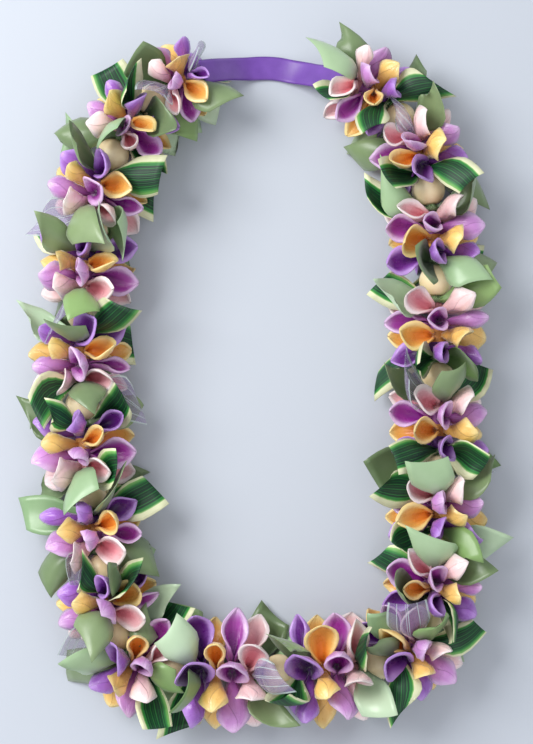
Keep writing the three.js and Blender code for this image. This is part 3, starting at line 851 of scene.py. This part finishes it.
def petal_arrays(k):
    """The standing petals of the blooms round a bead, as arrays."""
    if k not in near_petals:
        blooms = [petal_places[j] for j in (k - 2, k - 1, k, k + 1) if 0 <= j < BLOOMS]
        found = [petal for bloom in blooms for petal in bloom if abs(petal["angle"]) <= FLAT_AT]
        labels = ("root", "axis", "open", "across", "length", "size")
        near_petals[k] = [np.array([petal[label] for petal in found]) for label in labels]
    return near_petals[k]


def crossings(leaf, k, bead_place):
    """How many spots of a leaf lie in a petal's room or in the bead's."""
    spots = []
    for t in (0.3, 0.6, 1, 1.35, 1.7, 2):
        if t > 1:
            at = leaf["middle"] + (leaf["end"] - leaf["middle"]) * (t - 1)
        else:
            at = leaf["root"] + (leaf["middle"] - leaf["root"]) * t
        spots += [at + leaf["across"] * u * leaf["wide"] * min(t, 1) for u in (-0.9, -0.45, 0, 0.45, 0.9)]
    spots = np.array(spots)
    count = int((np.linalg.norm(spots - bead_place, axis=1) < BEAD_RADIUS + BEAD_ROOM).sum())
    root, axis, open_way, side_way, length, size = petal_arrays(k)
    d = spots[:, None, :] - root[None]
    z = (d * axis[None]).sum(2) / length
    x = np.abs((d * side_way[None]).sum(2)) - PETAL_ROOM
    y = (d * open_way[None]).sum(2)
    share = np.minimum(np.minimum(z / 0.62, (1.08 - z) / 0.4), 1)
    half, deep = PETAL_WIDTH / 2 * size * share, PETAL_DEPTH * size * share
    inside = (z >= 0.05) & (z <= 1.04) & (x < half)
    inside &= (y > -0.7 * deep - PETAL_ROOM) & (y < 0.3 * deep + PETAL_ROOM)
    return count + int(inside.sum())


def leaf_whorl(run, seed, side, k, bead_place):
    """The leaves of one side of a bead, each turned to cross fewest petals. side is 1 before a bloom."""
    made = []
    size = BLOOM_SIZES[k if side > 0 else k - 1]
    for i in range(LEAVES):
        n = seed * LEAVES + i
        angle = i * 360 / LEAVES + 360 * draw(seed, 10) + 24 * (draw(n, 11) - 0.5)
        lean = -4 - 12 * draw(n, 12) if side > 0 else 8 + 14 * draw(n, 12)
        bend = -8 - 20 * draw(n, 13) if side > 0 else 16 + 30 * draw(n, 13)
        best = None
        for turn in (0, 6, -6, 12, -12, 18, -18, 24, -24, 30, -30, 36, -36):
            for less in (1, 0.5, 0, -0.5):
                for flip in (1, -1):
                    place = leaf_place(run, n, size, turned_to(angle + turn), lean * less, bend * less, flip)
                    count = crossings(place, k, bead_place) + abs(turn) / 40 + (1 - less) / 3
                    if best is None or count < best[0]:
                        best = (count, place)
        kind = WHORL_KINDS[seed % 2][(i + int(5 * draw(seed, 14))) % LEAVES]
        made.append((kind, best[1]))
    return made


# Along a leaf from its pinched root: its width, and how far it bulges.
LEAF_SPREAD = [(0, 0.13), (0.12, 0.24), (0.3, 0.56), (0.48, 0.87), (0.62, 1), (0.8, 0.98), (1, 0.9)]
LEAF_BULGE = [(0, 0.35), (0.25, 0.85), (0.5, 1), (0.75, 0.72), (1, 0.4)]
TIP_CURL = 0.008

# A leaf's coarse net, to find what it touches: spots across it, rows along it, and what a touch counts for
# between one row and the next. It counts for little near the pinched end, which is out of sight.
NET_SPOTS = 7
NET_ROWS = (0.16, 0.3, 0.43, 0.55, 0.67, 0.78, 0.89, 1)
NET_HALF = 0.0007  # from the ribbon's middle to either net
NET_WEIGHT = [weight for weight in (0, 0.3, 1, 1, 1, 1, 1) for _ in range(NET_SPOTS - 1)] * 2
ACROSS, RUN = (g.ravel()[:, None] for g in np.meshgrid(np.linspace(-1, 1, NET_SPOTS), NET_ROWS))
GRID = [
    (i, i + 1, i + 1 + NET_SPOTS, i + NET_SPOTS) for i in range(len(RUN) - NET_SPOTS) if (i + 1) % NET_SPOTS
]
GRID += [tuple(i + len(RUN) for i in face) for face in GRID]


def bending(leaf):
    """The bend of a curve from a leaf's root to its end that passes its middle at 0.55 of the way."""
    return (leaf["middle"] - leaf["root"] * 0.2025 - leaf["end"] * 0.3025) / 0.495


def leaf_net(leaf):
    """The middle of the leaf's ribbon as a coarse net, once above it and once below."""
    rest, tip = 1 - RUN, np.maximum(RUN - 0.5, 0) ** 2 * 4
    wide = leaf["wide"] * np.interp(RUN, *zip(*LEAF_SPREAD)) * (1 - tip * leaf["point"])
    cut = (leaf["cuts"][0] * (ACROSS + 1) + leaf["cuts"][1] * (1 - ACROSS)) / 2 * RUN**3
    lift = (1 - ACROSS**2) * LEAF_ARCH * leaf["cup"] * np.interp(RUN, *zip(*LEAF_BULGE))
    lift = lift + tip * leaf["curl"] * TIP_CURL + ACROSS * (RUN - 0.3) * leaf["twist"] * wide
    net = leaf["root"] * rest**2 + bending(leaf) * 2 * rest * RUN + leaf["end"] * RUN**2
    net = net + leaf["across"] * ACROSS * wide + leaf["onward"] * cut + leaf["face"] * lift
    return np.concatenate((net + leaf["face"] * NET_HALF, net - leaf["face"] * NET_HALF))


def net_of(pieces):
    """The faces of several pieces in one search tree."""
    places, faces = [], []
    for piece in pieces:
        faces += [[v + len(places) for v in face.vertices] for face in piece.data.polygons]
        places += [v.co.copy() for v in piece.data.vertices]
    return BVHTree.FromPolygons(places, faces)


# The ways a leaf may be laid, the least changed first: the cost, degrees about the cord, along it and about
# the leaf itself, and the share of its size.
EASING = [
    ((abs(a) + abs(b) + abs(c) / 2) / 20 + (1 - d) * 12, a, b, c, d)
    for a in (0, 6, -6, 12, -12, 18, -18, 24, -24) for b in (0, 8, -8, 16, -16)
    for d, rolls in ((1, (0, 18, -18, 36, -36)), (0.85, (0, 18, -18)), (0.7, (0, 18, -18))) for c in rolls
]
EASING.sort(key=lambda way: way[0])
SLIGHT_TOUCH = 0.7  # touches that count for no more than this are let be
TOUCH_COST = 3  # what a leaf that touches more costs besides


def eased(leaf, run, others):
    """The leaf turned at its root, as by hand, to where it lies clear of petals, beads and other leaves."""
    out, round_way = spoke(heading(run), leaf["angle"])
    to, out, round_way = Vector(heading(run)), Vector(out), Vector(round_way)
    best, nets = None, {}
    for cost, about, lean, roll, share in EASING:
        if best is not None and best[0] <= cost:
            break
        if share not in nets:
            less = {**leaf, "wide": leaf["wide"] * share}
            less.update({key: leaf["root"] + (leaf[key] - leaf["root"]) * share for key in ("middle", "end")})
            nets[share] = less, leaf_net(less) - leaf["root"]
        turn = Matrix.Rotation(math.radians(about), 3, to) @ Matrix.Rotation(math.radians(lean), 3, round_way)
        turn = np.array(turn @ Matrix.Rotation(math.radians(roll), 3, out))
        net = BVHTree.FromPolygons((nets[share][1] @ turn.T + leaf["root"]).tolist(), GRID)
        touched = sum(NET_WEIGHT[mine] for other in others for mine, _ in net.overlap(other))
        count = cost + touched + (TOUCH_COST if touched > SLIGHT_TOUCH else 0)
        if best is None or count < best[0]:
            best = (count, turn, share, net)
    _, turn, share, net = best
    laid_leaf = dict(nets[share][0])
    for key in ("middle", "end"):
        laid_leaf[key] = leaf["root"] + turn @ (laid_leaf[key] - leaf["root"])
    for key in ("onward", "across", "face"):
        laid_leaf[key] = turn @ leaf[key]
    return laid_leaf, net


bloom_net = net_of([*petal_sets, beads])
nowhere = along(-0.09)  # stands for the bead at the cord's ends, where there is none
whorls = [(TIE_RUN[1] + JOIN + COLLAR_LENGTH / 2, 0, 1, 0, nowhere)]
for k in range(1, BLOOMS):
    s, near = bead_run[k - 1], BEAD_RADIUS + JOIN + COLLAR_LENGTH / 2
    whorls += [(s - near, 2 * k, -1, k, along(s)), (s + near, 2 * k + 1, 1, k, along(s))]
whorls.append((CORD_LENGTH - TIE_RUN[1] - JOIN - COLLAR_LENGTH / 2, 2 * BLOOMS, -1, BLOOMS, nowhere))
set_out = [(kind, leaf, whorl[0]) for whorl in whorls for kind, leaf in leaf_whorl(*whorl)]
leaf_sets, laid = [None] * len(set_out), []
for _ in range(3):  # each leaf is laid once, and twice more when its neighbours lie
    for number, (kind, leaf, run) in enumerate(set_out):
        near_leaves = [net for at, net in enumerate(laid) if at != number and abs(at - number) < 4 * LEAVES]
        leaf, net = eased(leaf, run, [bloom_net, *near_leaves])
        laid[number:number + 1] = [net]
        leaf_sets[number] = (kind, leaf)


def leaf_shaping():
    """The tree that bends, arches and cuts a flat blank at every leaf's root."""
    tree, points, size = shape_tree(
        "leaf_shaping", Blank="Object", Arch=LEAF_ARCH, Half_Thickness=LEAF_THICK, Pleat=0.0011,
        Tip_Curl=TIP_CURL, Unevenness=0.0012, Lowest=LOWEST, Seed=5, Finish="Material",
    )
    points = chance(tree, points, "tone", 0.0, 1.0, size["Seed"])
    real = add_node(tree, "GeometryNodeRealizeInstances", {0: copied(tree, points, size["Blank"])})
    across, run, side = named(tree, "fold", True).parts()
    rest = run.rest()
    line = named(tree, "root", True) * (rest * rest) + named(tree, "bending", True) * (rest * run * 2.0)
    line = line + named(tree, "end", True) * (run * run)
    bow = (run - 0.5).at_least(0.0)
    tip = bow * bow * 4.0
    wide = named(tree, "wide") * follow(run, LEAF_SPREAD) * (tip * named(tree, "point")).rest()
    cut_left, cut_right, _ = named(tree, "cuts", True).parts()
    cut = (cut_left * (across + 1.0) + cut_right * across.rest()) * 0.5 * run * run * run
    arch = (across * across).rest() * size["Arch"] * named(tree, "cup") * follow(run, LEAF_BULGE)
    pleat = (across * 7.8).work("COSINE") * size["Pleat"] * rest * rest
    lift = arch + pleat + tip * named(tree, "curl") * size["Tip_Curl"]
    lift = lift + across * (run - 0.3) * named(tree, "twist") * wide + side * size["Half_Thickness"]
    place = line + named(tree, "across", True) * (across * wide) + named(tree, "onward", True) * cut
    place = place + named(tree, "face", True) * lift
    settled = settle(tree, real.outputs[0], place, size["Unevenness"], size["Lowest"])
    finish_tree(tree, settled, size["Finish"])
    return tree


def flat_ring(spots):
    """Round a flat ribbon's end, over its face and back under it."""
    return [(u, 1.0) for u in spots] + [(u, -1.0) for u in reversed(spots)]


LEAF_SHAPING = leaf_shaping()
LEAF_RING = flat_ring((-1, -0.72, -0.4, -0.13, 0.13, 0.4, 0.72, 1))
leaf_blank = ribbon_blank("leaf_blank", LEAF_RING, [0, 0.1, 0.22, 0.36, 0.5, 0.64, 0.77, 0.89, 1])


def leaf_satin(name, light_hue, dark_hue, other_light, other_dark):
    """Plain leaf satin, with painted shade darker towards its pinched end, painted sheen in streaks, and
    darker on its back. Some leaves are of a second green.
    """
    material, tree, shader = surface(name)
    _, run, side = ribbon_spot(tree)
    tone = carried(tree, "tone")
    threads, streak = woven(tree, 600.0)
    # From the light hue to the dark: a random tone for each leaf, streaks of painted sheen and a darker back,
    # then painted shade towards the pinched end.
    share = (tone * 3.0).work("FRACT") * 0.5 + streak * 0.2 + (side * -0.08 + 0.08)
    share = share + risen(run, 0.75, 0.1) * 0.4
    first, second = mixed(share, light_hue, dark_hue), mixed(share, other_light, other_dark)
    coat(
        tree, shader, mixed(risen(tone, 0.66, 0.67), first, second), (threads, 0.00004, 0.25),
        Roughness=streak * 0.15 + 0.26, Sheen_Weight=0.2, Specular_IOR_Level=0.6,
    )
    return material


def striped_ribbon():
    """Green striped ribbon: fine dark and light green lines, a broad cream margin and a narrow one."""
    material, tree, shader = surface("striped_ribbon")
    across = ribbon_spot(tree)[0]
    cream, dark, deep = hue(230, 232, 190), hue(8, 54, 32), hue(18, 86, 42)
    mid, light = hue(42, 128, 56), hue(130, 190, 100)
    stops = [(0.0, cream), (0.16, cream), (0.18, light), (0.21, mid), (0.26, mid), (0.28, dark)]
    lines = ((0.33, mid), (0.41, deep), (0.47, mid), (0.54, deep), (0.6, mid), (0.68, deep), (0.76, mid))
    for at, line in lines:
        stops += [(at - 0.016, dark), (at, line), (at + 0.016, dark)]
    stops += [(0.85, mid), (0.93, light), (0.95, cream), (1.0, cream)]
    _, streak = woven(tree, 600.0)
    # Shaded by a random tone for each leaf and by streaks of painted sheen.
    shade = (carried(tree, "tone") * 0.5 + 0.8) * (streak * 0.3 + 0.85)
    ribs = (across * 70.0).work("SINE")
    coat(tree, shader, shaded(tinted(across * 0.5 + 0.5, *stops), shade), (ribs, 0.0001, 0.35), Roughness=0.5)
    return material


def sheer_organza():
    """Sheer lilac organza with silvery mint lines woven lengthwise."""
    material, tree, shader = surface("sheer_organza")
    across = ribbon_spot(tree)[0]
    line = None
    for at, wide in ((-0.96, 0.07), (-0.55, 0.025), (-0.1, 0.02), (0.0, 0.025), (0.5, 0.025), (0.96, 0.07)):
        one = risen((across - at).work("ABSOLUTE"), wide, wide * 0.5)
        line = one if line is None else line.at_least(one)
    threads = (across * 90.0).work("SINE") * 0.5 + 0.5
    tint = mixed(line, hue(164, 144, 190), hue(214, 230, 228))
    cover = line * 0.28 + threads * 0.06 + (carried(tree, "tone") * 0.16 + 0.2)
    relief = (line + threads * 0.3, 0.0001, 0.3)
    coat(tree, shader, tint, relief, Alpha=cover, Roughness=0.28, Sheen_Weight=0.4)
    return material


LEAF_GREENS = {  # light and dark of the first green, and of the second
    "sage": ((152, 174, 124), (60, 88, 48), (154, 188, 116), (78, 116, 56)),
    "mint": ((182, 210, 166), (118, 156, 104), (214, 232, 202), (160, 194, 150)),
}
LEAF_FINISHES = {
    kind: leaf_satin(kind + "_satin", *[hue(*green) for green in greens])
    for kind, greens in LEAF_GREENS.items()
}
LEAF_FINISHES.update(striped=striped_ribbon(), organza=sheer_organza())
LEAF_LABELS = (
    "root", "bending", "end", "onward", "across", "face", "cuts", "wide", "cup", "twist", "curl", "point",
)
for number, (kind, finish) in enumerate(LEAF_FINISHES.items()):
    mine = [{**leaf, "bending": bending(leaf)} for made_of, leaf in leaf_sets if made_of == kind]
    name = "leaves_" + kind
    start = roots_mesh(name, mine, LEAF_LABELS)
    leaves = grow(name, start, LEAF_SHAPING, Blank=leaf_blank, Seed=5 + number * 97, Finish=finish)
    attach(leaves, "root")
    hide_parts(*LEAF_NODES)
bpy.data.objects.remove(leaf_blank)

# Neck ribbon
# A band of purple satin ribbon lies behind the neck, from one end of the cord down to the surface and up to
# the other, and is wound round both ends of the cord and stitched there.
RIBBON_WIDTH = 0.016
RIBBON_THICK = 0.0005
TIE_RADIUS = 0.0044
TIE_SHAPE = [
    (0, 0.8), (0.06, 0.96), (0.3, 1), (0.36, 0.94), (0.42, 1), (0.64, 1), (0.7, 0.94), (0.76, 1),
    (0.94, 0.96), (1, 0.8),
]


def ribbon_path():
    """The band's middle line, an evenly curving line through its seven set places."""
    a_way, b_way = along(0.001) - along(0), along(CORD_LENGTH) - along(CORD_LENGTH - 0.001)
    a_way, b_way = a_way / np.linalg.norm(a_way), b_way / np.linalg.norm(b_way)
    start, end = along(0) + a_way * 0.003, along(CORD_LENGTH) - b_way * 0.003
    top = CORD_HEIGHT + TIE_RADIUS - 0.0004
    knots = [
        (*start[:2], top), (*(start - a_way * 0.009)[:2], 0.022),
        (-0.0107, 0.2076, 0.003), (0.0058, 0.2086, 0.0006), (0.0213, 0.2056, 0.003),
        (*(end + b_way * 0.009)[:2], 0.022), (*end[:2], top),
    ]
    p = [np.array(k) for k in knots]
    p = [2 * p[0] - p[1], *p, 2 * p[-1] - p[-2]]
    line = []
    for p0, p1, p2, p3 in zip(p, p[1:], p[2:], p[3:]):
        d0, d1, d2 = (float(np.linalg.norm(b - a)) ** 0.5 for a, b in ((p0, p1), (p1, p2), (p2, p3)))
        t1 = ((p1 - p0) / d0 - (p2 - p0) / (d0 + d1) + (p2 - p1) / d1) * d1
        t2 = ((p2 - p1) / d1 - (p3 - p1) / (d1 + d2) + (p3 - p2) / d2) * d1
        bend, pull = -3 * p1 + 3 * p2 - 2 * t1 - t2, 2 * p1 - 2 * p2 + t1 + t2
        for t in np.arange(8) / 8:
            line.append(p1 + t1 * t + bend * t**2 + pull * t**3)
    return np.array(line + [p[-2]])


tree, strip, size = shape_tree(
    "band_on_path", Path="Object", Width=RIBBON_WIDTH, Thickness=RIBBON_THICK, Sag=0.0008, Lowest=LOWEST,
    Finish="Material",
)
route = add_node(tree, "GeometryNodeObjectInfo", {"Object": size["Path"]})
route = add_node(tree, "GeometryNodeMeshToCurve", {0: route.outputs["Geometry"]})
across, run, side = named(tree, "fold", True).parts()
spot = add_node(tree, "GeometryNodeSampleCurve", {0: route.outputs[0], "Factor": run}, mode="FACTOR")
onward = Measure(tree, spot.outputs["Tangent"])
level = onward.work("CROSS_PRODUCT", (0.0, 0.0, 1.0)).work("NORMALIZE")
above = level.work("CROSS_PRODUCT", onward).work("NORMALIZE")
place = Measure(tree, spot.outputs["Position"]) + level * (across * size["Width"] * 0.5)
place = place + above * (side * size["Thickness"] * 0.5 + across * across * size["Sag"])
finish_tree(tree, settle(tree, strip, place, 0.0008, size["Lowest"]), size["Finish"])
BAND_ON_PATH = tree

neck_satin, tree, shader = surface("purple_neck_satin")
threads, streak = woven(tree, 700.0)
hem = risen(ribbon_spot(tree)[0].work("ABSOLUTE"), 0.88, 0.95, "LINEAR")
# Painted sheen: satin streaks paint the band lighter and darker. Its hems are darker.
tint = mixed(streak * 0.7 + hem * 0.3, hue(128, 82, 182), hue(84, 40, 136))
coat(tree, shader, tint, (threads * 0.4 + hem, 0.0001, 0.4), Roughness=0.36, Sheen_Weight=0.25)

path = ribbon_path()
path_mesh = points_mesh("ribbon_path", path, [(i, i + 1) for i in range(len(path) - 1)])
path_object = bpy.data.objects.new("ribbon_path", path_mesh)
blank = ribbon_blank("ribbon_strip", flat_ring(np.linspace(-1, 1, 9)), np.linspace(0, 1, 49))
band = grow("neck_ribbon_band", blank.data, BAND_ON_PATH, Path=path_object, Finish=neck_satin)
bpy.data.objects.remove(blank)
bpy.data.objects.remove(path_object)
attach(band, "root")
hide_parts("neck_ribbon")

tie_runs = (TIE_RUN, (CORD_LENGTH - TIE_RUN[1], CORD_LENGTH - TIE_RUN[0]))
tie_lines = [shaped_run(*tie_run, TIE_RADIUS, TIE_SHAPE) for tie_run in tie_runs]
ties = round_along("neck_ribbon_ties", tie_lines, 16, neck_satin)
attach(ties, "root")
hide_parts("neck_ribbon")

# Surface and light
# A plain pale table top, lit softly from the upper left and filled from the lower side.
# The room round it is pale and even.
floor_mesh = bpy.data.meshes.new("table_top")
floor_mesh.from_pydata([(-3, -3, 0), (3, -3, 0), (3, 3, 0), (-3, 3, 0)], [], [(0, 1, 2, 3)])
table_top = bpy.data.objects.new("table_top", floor_mesh)
bpy.context.scene.collection.objects.link(table_top)
pale, tree, shader = surface("pale_table")
fill_in(tree, shader, {"Base Color": hue(199, 205, 214), "Roughness": 0.7})
floor_mesh.materials.append(pale)

world = bpy.data.worlds.new("studio")
world.use_nodes = True
fill_in(world.node_tree, world.node_tree.nodes["Background"], {"Color": hue(234, 237, 243), "Strength": 0.68})
bpy.context.scene.world = world
LAMPS = (("key_light", (-0.85, 0.45, 1.05), 0.8, 17.5), ("fill_light", (0.2, -0.9, 1.3), 1.2, 3))
for name, place, wide, power in LAMPS:
    lamp = bpy.data.lights.new(name, "AREA")
    lamp.size, lamp.energy = wide, power
    light = bpy.data.objects.new(name, lamp)
    light.location = place
    light.rotation_euler = (-Vector(place)).to_track_quat("-Z", "Y").to_euler()
    bpy.context.scene.collection.objects.link(light)
